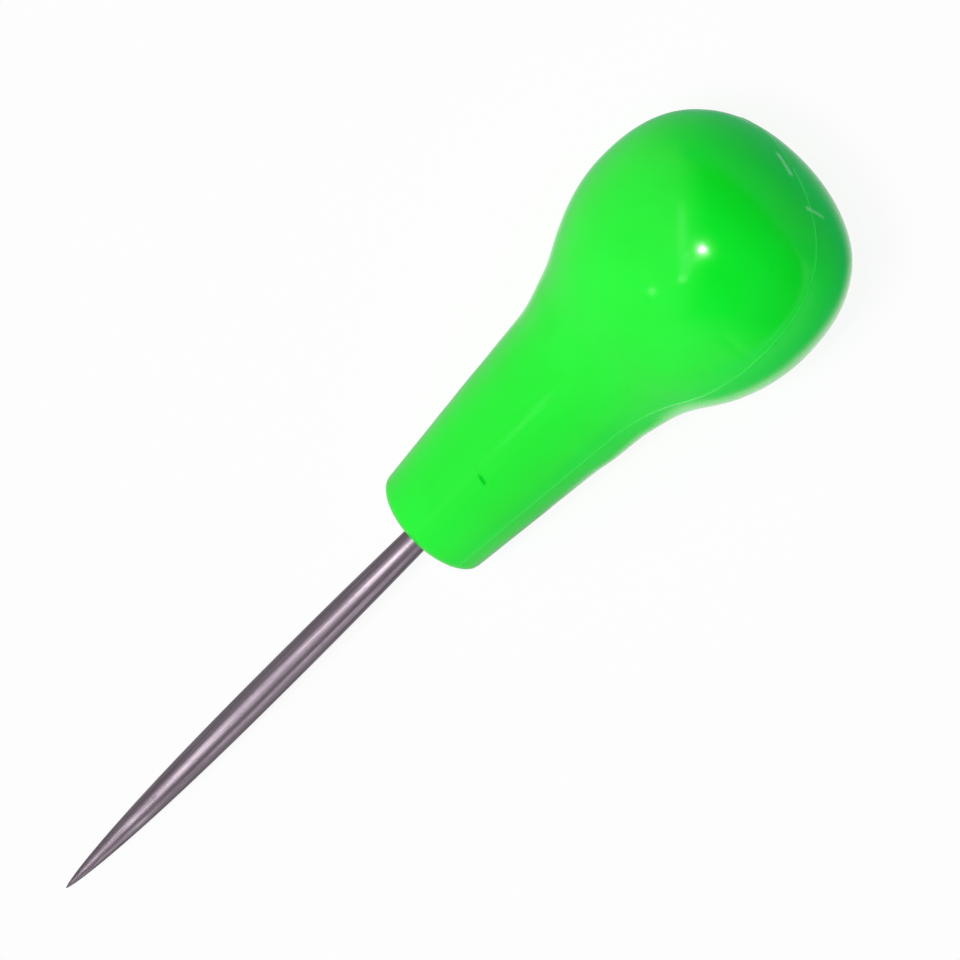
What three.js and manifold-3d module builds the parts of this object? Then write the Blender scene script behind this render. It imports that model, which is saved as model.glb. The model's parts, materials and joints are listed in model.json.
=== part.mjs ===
// Scratch awl: a steel blade held between two moulded handle shells that are welded along their seam.
//
// Millimetres, +Z up. The awl lies on a flat surface as it does on a bench: its point and the bulb of
// its handle touch z = 0, the point lies towards -X and the butt towards +X. The origin is the centre
// of its bounding box, at the bottom.
//
// Inside the awl's own group X runs along the axis, from the point (x = 0) to the butt.
// Inside the handle's group X starts at the nose, and the seam between the shells is the plane z = 0.

import * as THREE from 'three';
import { mergeVertices } from 'three/addons/utils/BufferGeometryUtils.js';
import Module from 'manifold-3d';

const wasm = await Module();
wasm.setup();

// ---- Driving dimensions ----

// Blade
const BLADE_EXPOSED = 71.5;       // from the point to the handle's nose
const BLADE_RADIUS = 2.0;         // at its thickest
const BLADE_SWELL_X = 45;         // where it is thickest
const BLADE_SHOULDER_RADIUS = 1.74; // at the nose, and along the tang
const POINT_FULLNESS = 2.5;       // how quickly the long taper fills out
const POINT_BLUNTNESS = 0.66;     // 1 would be a plain cone at the very point
const TANG_LENGTH = 44.4;         // from the nose to the end of the tang
const TANG_CHAMFER = 0.6;
const WING_X = 29.8;              // middle of the pressed wings, from the nose
const WING_LENGTH = 4.8;
const WING_FLAT_LENGTH = 2.4;
const WING_HALF_WIDTH = 3.3;
const WING_THICKNESS = 1.8;

// Handle, outside
const NOSE_FLAT_RADIUS = 3.0;     // flat ring around the blade
const NOSE_DEPTH = 2.7;           // length of the rounded nose
const NOSE_RADIUS = 8.08;
const GRIP_END_X = 29.8;          // the grip's straight taper ends here
const GRIP_END_RADIUS = 10.78;
const NECK_PULL = 9.2;            // how far the neck keeps on along the grip's line
const BULB_X = 53.7;              // where the bulb is widest
const BULB_RADIUS = 17.95;
const BULB_PULL = 10.1;           // fullness of the bulb towards the neck
const HANDLE_LENGTH = 70;
const BUTT_PULL = 12.2;           // fullness of the bulb towards the butt
const BUTT_FLATNESS = 11;
const SEAM_ROLL = THREE.MathUtils.degToRad(39); // roll of the seam about the axis, from level

// Handle, inside
const WALL = 2.4;
const RIB_THICKNESS = 1.6;
const RIB_PITCH = 9.2;
const FIRST_RIB_X = 25.2;
const RIB_COUNT = 5;
const NOSE_BLOCK_LENGTH = 15.3;
const SLEEVE_WALL = 1.8;
const CRADLE_WALL = 1.6;          // around the pocket that holds the tang's wings
const THRUST_WEB_LENGTH = 3;
const PIN_SPOTS = [               // locating pins: place along the axis, distance to each side, radius
  { x: 7.5, y: 5.2, radius: 1.1 },
  { x: 57.4, y: 8.6, radius: 1.3 },
];
const PIN_HEIGHT = 2.6;
const PIN_BOSS_WALL = 1.6;
const TONGUE_START_X = 3.5;
const TONGUE_OUTER = 0.8;         // distance from the handle's skin to the tongue's outer face
const TONGUE_WIDTH = 0.8;
const TONGUE_HEIGHT = 0.7;

// Fits and faceting
const CLEARANCE = 0.3;            // between the blade and the shells, and around pins and tongue
const SEAM_GAP = 0.3;             // between the two shells
const HANDLE_SIDES = 40;
const BLADE_SIDES = 24;
const PIN_SIDES = 12;

// ---- Solids and meshes ----

function toSolid(geometry) {
  geometry.deleteAttribute('normal');
  geometry.deleteAttribute('uv');
  const merged = mergeVertices(geometry);
  return new wasm.Manifold(new wasm.Mesh({
    numProp: 3,
    vertProperties: Float32Array.from(merged.attributes.position.array),
    triVerts: Uint32Array.from(merged.index.array),
  }));
}

function toMesh(name, solid, look) {
  const { vertProperties, triVerts } = solid.getMesh();
  const geometry = new THREE.BufferGeometry();
  geometry.setAttribute('position', new THREE.BufferAttribute(vertProperties, 3));
  geometry.setIndex(new THREE.BufferAttribute(triVerts, 1));
  geometry.computeVertexNormals();
  const mesh = new THREE.Mesh(geometry, new THREE.MeshStandardMaterial(look));
  mesh.name = name;
  return mesh;
}

// A profile point is (distance along X, radius). The flats of the turned solid touch the true round.
function turned(profile, sides) {
  const flatsToCorners = 1 / Math.cos(Math.PI / sides);
  const points = profile.map((p) => new THREE.Vector2(p.y * flatsToCorners, p.x));
  return new THREE.LatheGeometry(points, sides).rotateZ(-Math.PI / 2);
}

function rod(fromX, toX, radius, sides) {
  return toSolid(turned([
    new THREE.Vector2(fromX, 0),
    new THREE.Vector2(fromX, radius),
    new THREE.Vector2(toX, radius),
    new THREE.Vector2(toX, 0),
  ], sides));
}

function block(fromX, toX, width, height) {
  const box = new THREE.BoxGeometry(toX - fromX, width, height);
  return toSolid(box.translate((fromX + toX) / 2, 0, 0));
}

// An outline in the seam plane, raised from one z to another.
function raised(outline, fromZ, toZ) {
  const plate = new THREE.ExtrudeGeometry(new THREE.Shape(outline), {
    depth: toZ - fromZ,
    bevelEnabled: false,
  });
  return toSolid(plate.translate(0, 0, fromZ));
}

function upright(x, y, radius, fromZ, toZ) {
  const post = new THREE.CylinderGeometry(radius, radius, toZ - fromZ, PIN_SIDES);
  post.rotateX(Math.PI / 2);
  return toSolid(post.translate(x, y, (fromZ + toZ) / 2));
}

// ---- Blade ----

function bladeRadius(x) {
  if (x < BLADE_SWELL_X) {
    const rest = (1 - x / BLADE_SWELL_X) ** POINT_FULLNESS;
    return BLADE_RADIUS * (1 - rest) ** POINT_BLUNTNESS;
  }
  const t = Math.min((x - BLADE_SWELL_X) / (BLADE_EXPOSED - BLADE_SWELL_X), 1);
  return BLADE_RADIUS + (BLADE_SHOULDER_RADIUS - BLADE_RADIUS) * t * t;
}

function bladeProfile() {
  const points = [];
  const taperSteps = 16;
  for (let i = 0; i <= taperSteps; i += 1) {
    const x = BLADE_SWELL_X * (i / taperSteps) ** 2;
    points.push(new THREE.Vector2(x, bladeRadius(x)));
  }
  const shankSteps = 5;
  for (let i = 1; i <= shankSteps; i += 1) {
    const x = THREE.MathUtils.lerp(BLADE_SWELL_X, BLADE_EXPOSED, i / shankSteps);
    points.push(new THREE.Vector2(x, bladeRadius(x)));
  }
  const end = BLADE_EXPOSED + TANG_LENGTH;
  points.push(new THREE.Vector2(end - TANG_CHAMFER, BLADE_SHOULDER_RADIUS));
  points.push(new THREE.Vector2(end, BLADE_SHOULDER_RADIUS - TANG_CHAMFER));
  points.push(new THREE.Vector2(end, 0));
  return points;
}

// The wings' outline in the seam plane, grown by a margin for their pocket. X starts at the nose.
function wingOutline(margin) {
  const long = WING_LENGTH / 2 + margin;
  const flat = WING_FLAT_LENGTH / 2 + margin;
  const wide = WING_HALF_WIDTH + margin;
  const root = BLADE_SHOULDER_RADIUS - 0.2 + margin;
  return [
    new THREE.Vector2(WING_X - long, -root),
    new THREE.Vector2(WING_X - flat, -wide),
    new THREE.Vector2(WING_X + flat, -wide),
    new THREE.Vector2(WING_X + long, -root),
    new THREE.Vector2(WING_X + long, root),
    new THREE.Vector2(WING_X + flat, wide),
    new THREE.Vector2(WING_X - flat, wide),
    new THREE.Vector2(WING_X - long, root),
  ];
}

function bladeSolid() {
  const shaft = toSolid(turned(bladeProfile(), BLADE_SIDES));
  const wings = raised(wingOutline(0), -WING_THICKNESS / 2, WING_THICKNESS / 2);
  return shaft.add(wings.translate([BLADE_EXPOSED, 0, 0]));
}

// ---- Handle ----

// The handle's outline from the nose to the butt: a flat ring, a rounded nose, the tapered grip, the
// neck that swells into the bulb, and the slightly flattened butt.
function handleProfile() {
  const flatAngle = Math.asin(NOSE_FLAT_RADIUS / NOSE_RADIUS);
  const flatX = NOSE_DEPTH * (1 - Math.cos(flatAngle));
  const nose = new THREE.EllipseCurve(
    NOSE_DEPTH, 0, NOSE_DEPTH, NOSE_RADIUS, Math.PI - flatAngle, Math.PI / 2, true,
  );
  const gripSlope = (GRIP_END_RADIUS - NOSE_RADIUS) / (GRIP_END_X - NOSE_DEPTH);
  const grip = new THREE.LineCurve(
    new THREE.Vector2(NOSE_DEPTH, NOSE_RADIUS),
    new THREE.Vector2(GRIP_END_X, GRIP_END_RADIUS),
  );
  const neck = new THREE.CubicBezierCurve(
    new THREE.Vector2(GRIP_END_X, GRIP_END_RADIUS),
    new THREE.Vector2(GRIP_END_X + NECK_PULL, GRIP_END_RADIUS + NECK_PULL * gripSlope),
    new THREE.Vector2(BULB_X - BULB_PULL, BULB_RADIUS),
    new THREE.Vector2(BULB_X, BULB_RADIUS),
  );
  const butt = new THREE.CubicBezierCurve(
    new THREE.Vector2(BULB_X, BULB_RADIUS),
    new THREE.Vector2(BULB_X + BUTT_PULL, BULB_RADIUS),
    new THREE.Vector2(HANDLE_LENGTH, BUTT_FLATNESS),
    new THREE.Vector2(HANDLE_LENGTH, 0),
  );
  return [
    new THREE.Vector2(flatX, 0),
    ...nose.getPoints(6),
    ...grip.getPoints(3).slice(1),
    ...neck.getPoints(11).slice(1),
    ...butt.getPoints(10).slice(1),
  ];
}

// The part of the outline behind fromX, moved inwards by a distance, ending on the axis.
function insetProfile(profile, inset, fromX) {
  const points = [];
  for (let i = 1; i < profile.length - 1; i += 1) {
    const along = profile[i + 1].clone().sub(profile[i - 1]).normalize();
    const point = new THREE.Vector2(
      profile[i].x + along.y * inset,
      profile[i].y - along.x * inset,
    );
    if (point.x > fromX && point.y > inset) points.push(point);
  }
  points.unshift(new THREE.Vector2(fromX, points[0].y));
  points.push(new THREE.Vector2(HANDLE_LENGTH - inset, 0));
  return points;
}

// The hollow inside the walls, before ribs are put back into it.
function hollow(profile) {
  const inner = insetProfile(profile, WALL, NOSE_BLOCK_LENGTH);
  inner.unshift(new THREE.Vector2(NOSE_BLOCK_LENGTH, 0));
  return toSolid(turned(inner, HANDLE_SIDES));
}

function innerFrame() {
  const size = 3 * BULB_RADIUS;
  const sleeveRadius = BLADE_SHOULDER_RADIUS + CLEARANCE + SLEEVE_WALL;
  const cradle = CLEARANCE + CRADLE_WALL;
  const parts = [
    block(NOSE_BLOCK_LENGTH, HANDLE_LENGTH, RIB_THICKNESS, size),
    rod(NOSE_BLOCK_LENGTH - 1, TANG_LENGTH + 1, sleeveRadius, BLADE_SIDES),
    block(TANG_LENGTH + CLEARANCE, TANG_LENGTH + CLEARANCE + THRUST_WEB_LENGTH, size, size),
    block(
      WING_X - WING_LENGTH / 2 - cradle, WING_X + WING_LENGTH / 2 + cradle,
      2 * (WING_HALF_WIDTH + cradle), 2 * sleeveRadius,
    ),
  ];
  for (let i = 0; i < RIB_COUNT; i += 1) {
    const x = FIRST_RIB_X + i * RIB_PITCH;
    parts.push(block(x - RIB_THICKNESS / 2, x + RIB_THICKNESS / 2, size, size));
  }
  for (const { x, y, radius } of PIN_SPOTS) {
    for (const side of [-1, 1]) {
      parts.push(upright(x, side * y, radius + CLEARANCE + PIN_BOSS_WALL, -size, size));
    }
  }
  return parts.reduce((all, part) => all.add(part));
}

function tangSpace() {
  const bore = rod(-1, TANG_LENGTH + CLEARANCE, BLADE_SHOULDER_RADIUS + CLEARANCE, BLADE_SIDES);
  const half = WING_THICKNESS / 2 + CLEARANCE;
  return bore.add(raised(wingOutline(CLEARANCE), -half, half));
}

// A strip that follows the rim of a shell: up one side, round the butt and down the other side.
function rimStrip(profile, outerInset, width, fromX, fromZ, toZ) {
  const outer = insetProfile(profile, outerInset, fromX);
  const inner = insetProfile(profile, outerInset + width, fromX);
  const otherSide = (points) => points.slice(0, -1).map((p) => new THREE.Vector2(p.x, -p.y));
  const outline = [
    ...outer,
    ...otherSide(outer).reverse(),
    ...otherSide(inner),
    ...inner.reverse(),
  ];
  return raised(outline, fromZ, toZ);
}

function handleShells() {
  const profile = handleProfile();
  const shape = toSolid(turned(profile, HANDLE_SIDES));
  const space = hollow(profile).subtract(innerFrame()).add(tangSpace());
  const cast = shape.subtract(space);
  const reach = 3 * BULB_RADIUS;
  const face = SEAM_GAP / 2;
  const aboveSeam = block(-1, HANDLE_LENGTH + 1, reach, reach).translate([0, 0, reach / 2 + face]);
  let upper = cast.intersect(aboveSeam);
  let lower = cast.intersect(aboveSeam.rotate([180, 0, 0]));

  upper = upper.add(rimStrip(
    profile, TONGUE_OUTER, TONGUE_WIDTH, TONGUE_START_X, face - TONGUE_HEIGHT, face + 0.2,
  ));
  lower = lower.subtract(rimStrip(
    profile, TONGUE_OUTER - CLEARANCE, TONGUE_WIDTH + 2 * CLEARANCE, TONGUE_START_X - CLEARANCE,
    -face - TONGUE_HEIGHT, 0,
  ));
  for (const { x, y, radius } of PIN_SPOTS) {
    for (const side of [-1, 1]) {
      upper = upper.add(upright(x, side * y, radius, -PIN_HEIGHT, face + 0.5));
      lower = lower.subtract(upright(x, side * y, radius + CLEARANCE, -PIN_HEIGHT - CLEARANCE, 0));
    }
  }
  return { upper, lower, profile };
}

// ---- Assembly ----

const steel = { color: 0x9a8b97, roughness: 0.32, metalness: 1 };
const greenPlastic = { color: 0x2fe03c, roughness: 0.28, metalness: 0 };

const shells = handleShells();

const handle = new THREE.Group();
handle.add(toMesh('upper_handle_shell', shells.upper, greenPlastic));
handle.add(toMesh('lower_handle_shell', shells.lower, greenPlastic));
handle.position.x = BLADE_EXPOSED;

const rolled = new THREE.Group();
rolled.add(toMesh('blade', bladeSolid(), steel));
rolled.add(handle);
rolled.rotation.x = -SEAM_ROLL;

const awl = new THREE.Group();
awl.add(rolled);

// Lying down, the axis rises towards the bulb by the slope at which the lowest point of the blade and
// the lowest point of the handle are level. Halving the range finds it.
function lowest(profile, startX, slope) {
  return Math.min(...profile.map((p) => (startX + p.x) * slope - p.y));
}

function restingSlope(handleOutline) {
  let tooLow = 0;
  let tooSteep = 0.5;
  for (let i = 0; i < 40; i += 1) {
    const slope = (tooLow + tooSteep) / 2;
    const handleIsHigher = lowest(handleOutline, BLADE_EXPOSED, slope) > lowest(bladeProfile(), 0, slope);
    if (handleIsHigher) tooSteep = slope;
    else tooLow = slope;
  }
  return tooLow;
}

awl.rotation.y = -Math.atan(restingSlope(shells.profile));

const restingAwl = new THREE.Group();
restingAwl.add(awl);
const bounds = new THREE.Box3().setFromObject(restingAwl, true);
awl.position.x = -(bounds.min.x + bounds.max.x) / 2;
awl.position.z = -bounds.min.z;

export default restingAwl;
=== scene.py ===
# %% [markdown]
# # A scratch awl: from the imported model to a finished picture
#
# The awl is a slim ground steel blade held between two moulded half shells of bright green plastic.
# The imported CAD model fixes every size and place. This lesson loads it, finds the awl's axis in it,
# and then builds the blade and the two shells again as fine meshes, with finishes made from nodes.

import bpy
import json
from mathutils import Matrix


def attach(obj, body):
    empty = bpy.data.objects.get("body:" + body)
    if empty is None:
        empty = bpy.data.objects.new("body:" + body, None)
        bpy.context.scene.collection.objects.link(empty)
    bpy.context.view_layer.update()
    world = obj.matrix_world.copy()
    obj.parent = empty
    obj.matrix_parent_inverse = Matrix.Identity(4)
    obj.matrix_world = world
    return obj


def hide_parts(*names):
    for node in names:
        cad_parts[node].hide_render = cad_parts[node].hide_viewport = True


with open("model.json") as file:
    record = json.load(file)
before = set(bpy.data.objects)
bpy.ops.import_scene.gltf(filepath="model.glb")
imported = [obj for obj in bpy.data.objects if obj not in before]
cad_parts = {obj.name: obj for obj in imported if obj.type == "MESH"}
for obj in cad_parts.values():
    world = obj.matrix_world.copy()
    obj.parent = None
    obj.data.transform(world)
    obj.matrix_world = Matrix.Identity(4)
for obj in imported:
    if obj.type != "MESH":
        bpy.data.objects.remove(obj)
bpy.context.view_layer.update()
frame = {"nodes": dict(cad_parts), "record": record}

# %% [markdown]
# ## The awl's own axes
#
# The awl lies on a bench, touching it with its blade and its bulb, so its axis slopes. Building is
# easier in the awl's own axes: X from the point to the butt, Z square to the seam between the shells.
# All three directions can be read from the model. The mount is on the flat ring of the handle's nose:
# it faces the point, and its place on the upper shell lies off the axis, square to the seam. The angles
# could be typed in, but then they would have to be changed whenever the model is.

# %% Find the axis, the point and the nose
import numpy as np
from mathutils import Matrix, Vector

MM = 0.001


def corners(mesh):
    """The corners of a mesh, one row each."""
    flat = np.empty(3 * len(mesh.vertices))
    mesh.vertices.foreach_get("co", flat)
    return flat.reshape(-1, 3)


seat = frame["record"]["mounts"][0]
along = -Vector(seat["axis"]).normalized()
blade_corners = corners(frame["nodes"]["blade"].data)
distances = blade_corners @ np.array(along)
point = Vector(blade_corners[distances.argmin()])
seat_place = Vector(seat["pos_m"])
nose_ring_x = (seat_place - point).dot(along)
up = (seat_place - point - nose_ring_x * along).normalized()
side = up.cross(along)

to_frame = (
    Matrix.Translation(point)
    @ Matrix((along, side, up)).transposed().to_4x4()
    @ Matrix.Scale(MM, 4)
)
print("from the point to the nose ring:", round(nose_ring_x / MM, 2), "mm")
print("slope of the axis:", round(np.degrees(along.angle(Vector((1, 0, 0)))), 2), "degrees")

# %% [markdown]
# ## The camera
#
# The camera comes early, because every later choice is judged through it. It looks down on the awl
# from above the bulb's end, with a long lens, so that the axis leans 21.5 degrees towards the lens and
# runs from the lower left of the frame to the upper right. A wide lens close by would swell the bulb.

# %% Set up the camera
import bpy

scene = bpy.context.scene

LEAN = np.radians(21.5)             # the axis comes out of the picture plane by this much
TURN = np.radians(44.92)            # the awl's direction in the picture, from level
CAMERA_DISTANCE = 0.9
SENSOR_WIDTH = 36
AIM_ALONG = 82.35 * MM              # from the point, along the axis
AIM_ASIDE = -0.44 * MM
FIELD_WIDTH = 0.12245               # what the frame takes in at the aim point, in metres

tilt = LEAN - along.angle(Vector((1, 0, 0)))
backwards = Vector((np.sin(tilt), 0, np.cos(tilt)))
awl_in_picture = Vector((np.cos(tilt), 0, -np.sin(tilt)))
across = Vector((0, 1, 0))
right = np.cos(TURN) * awl_in_picture - np.sin(TURN) * across
upwards = np.sin(TURN) * awl_in_picture + np.cos(TURN) * across

camera_data = bpy.data.cameras.new("camera")
camera_data.sensor_width = SENSOR_WIDTH
camera_data.lens = SENSOR_WIDTH * CAMERA_DISTANCE / FIELD_WIDTH
camera = bpy.data.objects.new("camera", camera_data)
scene.collection.objects.link(camera)
aim = point + AIM_ALONG * along + AIM_ASIDE * across
camera.matrix_world = (
    Matrix.Translation(aim + CAMERA_DISTANCE * backwards)
    @ Matrix((right, upwards, backwards)).transposed().to_4x4()
)
scene.camera = camera
print("lens:", round(camera_data.lens, 1), "mm")

# %% [markdown]
# ## Placing a finished mesh
#
# Every piece is modelled in millimetres in the awl's own axes and is then carried to its place in one
# step. Its object stays at the origin, as the CAD nodes do, so that the piece's box is a tight one. The
# last helper spaces rings and columns, so that fine relief can have more of them than plain parts.

# %% Helpers that make and place a piece
FINE_PLACES = 6001                  # how finely the crowding is worked out


def new_piece(name, mesh):
    piece = bpy.data.objects.new(name, mesh)
    scene.collection.objects.link(piece)
    return piece


def carry_to_frame(piece):
    piece.data.transform(to_frame)
    piece.data.update()


def as_piece(name, vertices, faces):
    mesh = bpy.data.meshes.new(name)
    mesh.from_pydata([tuple(v) for v in vertices], [], faces)
    mesh.validate()
    return new_piece(name, mesh)


def crowded(start, end, count, crowds):
    """Places from start to end that stand closer together around each (place, reach, strength)."""
    fine = np.linspace(start, end, FINE_PLACES)
    density = np.ones_like(fine)
    for place, reach, strength in crowds:
        density += strength * np.exp(-((fine - place) / reach) ** 2)
    filled = np.concatenate([[0], np.cumsum((density[1:] + density[:-1]) / 2)])
    return np.interp(np.linspace(0, filled[-1], count + 1), filled, fine)


# %% [markdown]
# ## The blade
#
# The blade is one steel rod. Its long taper is ground, it is thickest nearly two thirds of the way to
# the handle, and a tang runs on inside the handle. There two wings are pressed out of the steel, so
# that it can neither turn nor pull out. The rod could be turned with a Screw modifier, but the wings
# aren't round. Rings whose section changes along the rod give both in one closed mesh.

# %% Shape the blade
BLADE_SIDES = 96
BLADE_RADIUS = 2.0
SWELL_X = 45
SHOULDER_RADIUS = 1.74
POINT_FULLNESS = 2.5
POINT_BLUNTNESS = 0.66
TANG_END = distances.max() / MM - point.dot(along) / MM
TANG_CHAMFER = 0.6
WING_FROM_NOSE = 29.8
WING_HALF_WIDTH = 3.2
WING_HALF_THICKNESS = 0.86
WING_HALF_LENGTH = 2.0
WING_SQUARENESS = 0.45
TAPER_RINGS = 120
TAPER_CROWDING = 1.8                # above 1, the rings stand closer together at the point
SHANK_RINGS = 60
TANG_RINGS = 110

nose_x = 71.5                       # where the handle's own outline starts, from the point
tang_x = nose_x + 2                 # where the tang's rings start, just inside the handle


def blade_radius(x):
    rest = (1 - np.minimum(x / SWELL_X, 1)) ** POINT_FULLNESS
    taper = BLADE_RADIUS * (1 - rest) ** POINT_BLUNTNESS
    t = np.clip((x - SWELL_X) / (nose_x - SWELL_X), 0, 1)
    shank = BLADE_RADIUS + (SHOULDER_RADIUS - BLADE_RADIUS) * t * t
    chamfer = np.clip(x - (TANG_END - TANG_CHAMFER), 0, TANG_CHAMFER)
    return np.where(x < SWELL_X, taper, shank) - chamfer


def pressed(x):
    """How far the press has flattened the tang at x, from 0 to 1, with soft shoulders."""
    off = (x - nose_x - WING_FROM_NOSE) / WING_HALF_LENGTH
    return np.exp(-off ** 4)


def blade_rings():
    taper = SWELL_X * np.linspace(0, 1, TAPER_RINGS + 1)[1:] ** TAPER_CROWDING
    shank = np.linspace(SWELL_X, tang_x, SHANK_RINGS + 1)[1:]
    crowds = [(nose_x + WING_FROM_NOSE, 3, 4), (TANG_END, 1, 6)]
    tang = crowded(tang_x, TANG_END, TANG_RINGS, crowds)[1:]
    stations = np.concatenate([taper, shank, tang])
    turn = np.linspace(0, 2 * np.pi, BLADE_SIDES, endpoint=False)
    rings = []
    for x in stations:
        radius = blade_radius(x)
        press = pressed(x)
        wide = radius + (WING_HALF_WIDTH - radius) * press
        thick = radius + (WING_HALF_THICKNESS - radius) * press
        roundness = 1 - WING_SQUARENESS * press
        y = wide * np.sign(np.cos(turn)) * np.abs(np.cos(turn)) ** roundness
        z = thick * np.sign(np.sin(turn)) * np.abs(np.sin(turn)) ** roundness
        rings.append(np.column_stack([np.full(BLADE_SIDES, x), y, z]))
    return rings


rings = blade_rings()
vertices = np.vstack([[[0, 0, 0]], *rings])
faces = []
for j in range(BLADE_SIDES):
    faces.append((0, 1 + (j + 1) % BLADE_SIDES, 1 + j))
for i in range(len(rings) - 1):
    here = 1 + i * BLADE_SIDES
    there = here + BLADE_SIDES
    for j in range(BLADE_SIDES):
        k = (j + 1) % BLADE_SIDES
        faces.append((here + k, there + k, there + j, here + j))
last = 1 + (len(rings) - 1) * BLADE_SIDES
faces.append(tuple(last + j for j in range(BLADE_SIDES)))
blade = as_piece("ground_blade", vertices, faces)
print("blade:", len(blade.data.vertices), "vertices,", round(TANG_END, 1), "mm long")

# %% [markdown]
# ## The handle's outline
#
# Turned about the axis, one outline gives the whole handle: a flat ring, a rounded nose, a long tapered
# grip, a neck that swells into the bulb, and a slightly flattened butt. It is part of an ellipse, a
# straight line and two Bezier curves. Places along it are measured by its own length, because equal
# steps along the axis would leave hardly any rings on the steep butt.

# %% Draw the outline
NOSE_FLAT_RADIUS = 3.0
NOSE_DEPTH = 2.7
NOSE_RADIUS = 8.08
GRIP_END_X = 29.8
GRIP_END_RADIUS = 10.78
NECK_PULL = 9.2
BULB_X = 53.7
BULB_RADIUS = 17.95
BULB_PULL = 10.1
HANDLE_LENGTH = 70.0
BUTT_PULL = 12.2
BUTT_FLATNESS = 11.0
OUTLINE_STEPS = 400


def bezier(a, b, c, d, t):
    a, b, c, d = (np.array(p, float) for p in (a, b, c, d))
    t = t[:, None]
    return (1 - t) ** 3 * a + 3 * (1 - t) ** 2 * t * b + 3 * (1 - t) * t * t * c + t ** 3 * d


def handle_outline():
    """The outline as rows of (x from the nose, radius), from the nose ring to the butt's middle."""
    turn = np.linspace(np.arcsin(NOSE_FLAT_RADIUS / NOSE_RADIUS), np.pi / 2, OUTLINE_STEPS // 4)
    nose = np.column_stack([NOSE_DEPTH * (1 - np.cos(turn)), NOSE_RADIUS * np.sin(turn)])
    t = np.linspace(0, 1, OUTLINE_STEPS)[1:]
    slope = (GRIP_END_RADIUS - NOSE_RADIUS) / (GRIP_END_X - NOSE_DEPTH)
    grip_end = (GRIP_END_X, GRIP_END_RADIUS)
    grip = nose[-1] + t[:, None] * (np.array(grip_end) - nose[-1])
    neck = bezier(
        grip_end, (GRIP_END_X + NECK_PULL, GRIP_END_RADIUS + NECK_PULL * slope),
        (BULB_X - BULB_PULL, BULB_RADIUS), (BULB_X, BULB_RADIUS), t,
    )
    butt = bezier(
        (BULB_X, BULB_RADIUS), (BULB_X + BUTT_PULL, BULB_RADIUS),
        (HANDLE_LENGTH, BUTT_FLATNESS), (HANDLE_LENGTH, 0), t,
    )
    return np.vstack([nose, grip, neck, butt])


outline = handle_outline()
outline_length = np.concatenate([[0], np.cumsum(np.linalg.norm(np.diff(outline, axis=0), axis=1))])


def length_at(x):
    return np.interp(x, outline[:, 0], outline_length)


def outline_at(length):
    return np.column_stack([np.interp(length, outline_length, outline[:, k]) for k in (0, 1)])


print("outline:", round(outline_length[-1], 1), "mm from the nose ring to the butt")

# %% [markdown]
# ## What happened to the handle in its mould
#
# The skin isn't a perfect turned shape. The welded seam stands a little proud and wanders in height.
# Behind the solid nose, and over ribs and webs inside, the plastic sank as it cooled. Uneven cooling
# is also taken to have pulled the bulb a little to one side, pinched the neck, and left the grip fuller
# below the seam and slimmer on the far side. The grip has a small cut, there are a few specks, and
# there are two short ridges at the butt. All of these are moved in the mesh, because a bump map alone
# would leave the outline and the exported mesh smooth. Each mark is a soft stroke between two places on
# the skin, so one short rule raises or sinks all of them.

# %% Rules for the skin's relief
from mathutils import noise

WAVE_HEIGHT = 0.05                  # slow waves all over the skin
WAVE_SIZE = 11
RIPPLE_HEIGHT = 0.012               # and finer ripples on them
RIPPLE_SIZE = 3.5
WELD_HEIGHT = 0.07
WELD_HALF_WIDTH = 0.2
WELD_EVENNESS = 0.8
WELD_LUMPINESS = 0.5
WELD_LUMP_SIZE = 2.2
WELD_GROWS_OVER = 12                # the weld line is half as high on the grip as on the bulb
NOSE_BLOCK_END = 15.3               # where the solid nose ends and the hollow begins
BLOCK_SINK = 0.035                  # how deep the skin sank there
BLOCK_SINK_EDGE = 0.3
BLOCK_SINK_LENGTH = 2.5
BULB_DRIFT = 0.38                   # how far the bulb sits to one side
BULB_DRIFT_TOWARDS = np.radians(219)
DRIFT_START_X = 36
DRIFT_GROWS_OVER = 8
DRIFT_FADES_OVER = 4                # the butt's middle stays on the axis
NECK_PINCH = 0.24                   # how much slimmer the neck is, which leaves a slight kink
NECK_X = 38.8
NECK_HALF_LENGTH = 3.2
NOSE_FADE = 0.5                     # the relief fades out this close to the flat ring

# Each mark: x and direction about the axis (degrees from the side, towards the upper shell) at both
# ends, then half width and height in millimetres. A negative height is a dent.
MARKS = {
    "cut in the grip": ((15.3, 122), (14.6, 137), 0.17, -0.12),
    # Besides its dent, the dark end of the cut gets painted shade in the plastic's colour.
    "dark end of the cut": ((14.85, 130.5), (14.6, 136.5), 0.2, -0.12),
    "sink over the bulb rib": ((53.2, 160), (52.5, 177), 0.45, -0.06),
    "sink over the thrust web": ((47.0, 169), (47.5, 178), 0.45, -0.05),
    "sink over the neck rib": ((43.3, 159), (43.7, 170), 0.5, -0.05),
    "flow line on the far side": ((43.8, 75), (47.3, 103), 0.5, -0.03),
    # Besides being raised, the two ridges at the butt are painted pale in the plastic, as a painted
    # highlight.
    "ridge beside the gate": ((69.95, 48), (69.93, 147), 0.34, 0.09),
    "ridge across the seam": ((69.2, 175), (69.05, 197), 0.26, 0.09),
    "fuller neck below the seam": ((27.0, 207), (33.0, 200), 3.0, 0.3),
    "waist on the far side": ((24.0, 62), (31.0, 61), 4.5, -0.22),
    "speck on the bulb": ((61.3, 160.4), (61.3, 160.6), 0.14, -0.05),
    "second speck on the bulb": ((62.4, 163), (62.4, 163.2), 0.12, -0.04),
    "speck on the grip": ((29.7, 143.8), (29.7, 144.2), 0.2, -0.05),
}


def on_skin(x, around):
    radius = np.interp(x, outline[:, 0], outline[:, 1])
    turn = np.radians(around)
    return np.array([x, radius * np.cos(turn), radius * np.sin(turn)])


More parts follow.
